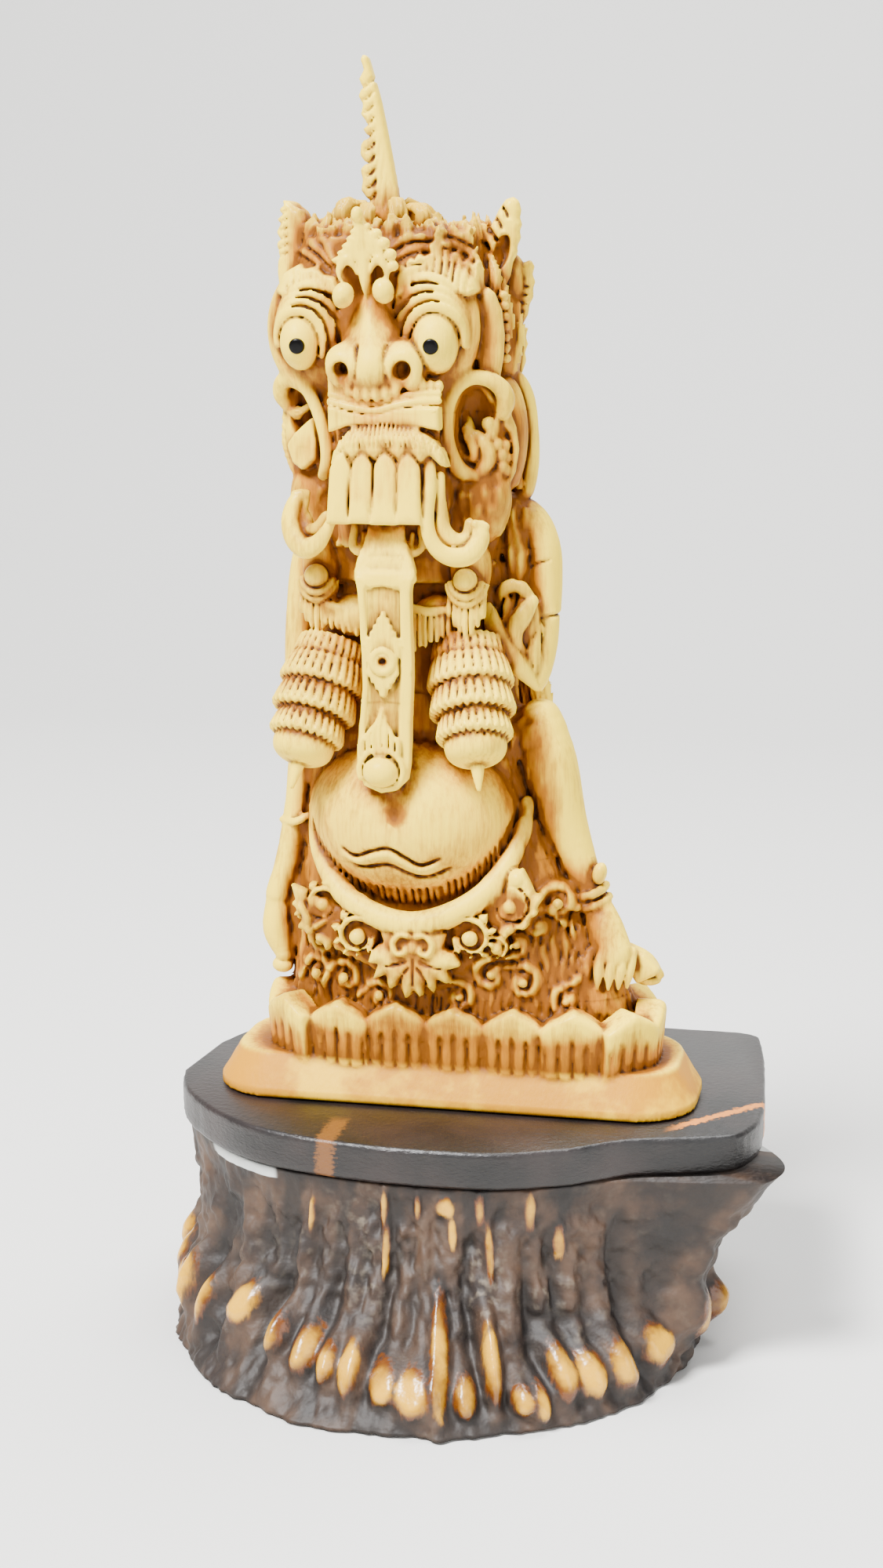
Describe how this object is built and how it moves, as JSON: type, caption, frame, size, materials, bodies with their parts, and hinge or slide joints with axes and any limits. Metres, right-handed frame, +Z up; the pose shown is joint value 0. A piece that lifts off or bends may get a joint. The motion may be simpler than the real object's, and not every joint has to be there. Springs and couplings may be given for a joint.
{
  "type": "carved rangda figure on an antler burr base",
  "caption": "Standing carved demon-queen figure with bulging eyes, tusks and long tongue, on a lotus plinth, a dark slab and an antler coronet base.",
  "frame": {"origin": "middle of the antler burr's ground underside, on the surface that it stands on", "axes": "+Z up the figure, -Y out of its face, +X to its left hand"},
  "size_m": [0.0818, 0.0721, 0.1622],
  "materials": {
    "carved_antler": "polished carved antler, cream on the high spots and stained orange-brown to dark brown in the cuts",
    "black_horn": "polished black horn inlay",
    "dark_wood": "sawn black-brown horn or ebony, satin on top with fine saw marks on the edge and a tan streak",
    "antler_bark": "dark brown-grey granular antler bark with rubbed tan pearls and ridges"
  },
  "bodies": {
    "root": {"carved_figure": "carved_antler", "left_pupil": "black_horn", "right_pupil": "black_horn", "dark_slab": "dark_wood", "antler_burr": "antler_bark"}
  },
  "joints": []
}
